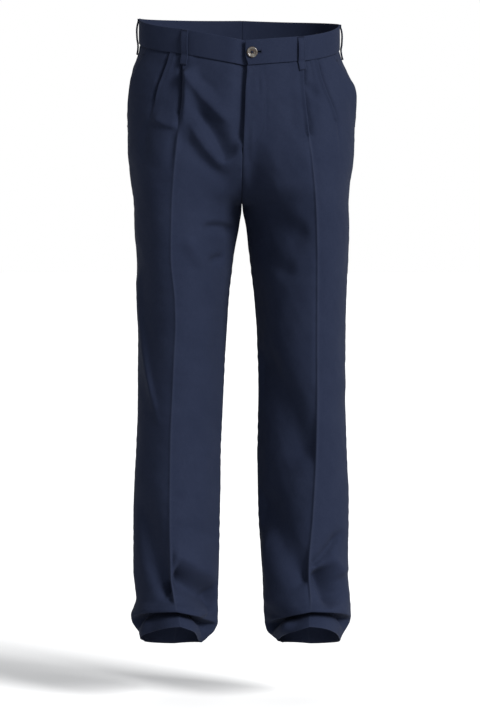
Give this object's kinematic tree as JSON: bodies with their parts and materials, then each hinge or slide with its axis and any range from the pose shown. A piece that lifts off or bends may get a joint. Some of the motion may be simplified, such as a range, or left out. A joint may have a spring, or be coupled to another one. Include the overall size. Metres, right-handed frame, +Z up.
{
  "type": "pleated chinos",
  "caption": "Worn, hollow pair of long pleated trousers with waistband, belt loops, fly, slant pockets and hems that break over the shoe; waist and legs open.",
  "frame": {"origin": "middle of the waist opening, halfway up the waistband at the side seams", "axes": "+Z up, the front of the trousers faces -Y, +X is the wearer's left"},
  "size_m": [0.3774, 0.2502, 1.0463],
  "materials": {
    "cloth": "matt cotton twill, navy",
    "button": "polished horn look, dark brown and grey",
    "thread": "sewing thread, navy"
  },
  "bodies": {
    "root": {"back_left": "cloth", "back_right": "cloth", "belt_loop_back_left": "cloth", "belt_loop_back_right": "cloth", "belt_loop_centre_back": "cloth", "belt_loop_front_left": "cloth", "belt_loop_front_right": "cloth", "belt_loop_side_left": "cloth", "belt_loop_side_right": "cloth", "button": "button", "button_shank": "thread", "front_left": "cloth", "front_right": "cloth", "pocket_facing_left": "cloth", "pocket_facing_right": "cloth", "waistband_left": "cloth", "waistband_right": "cloth"}
  },
  "joints": []
}
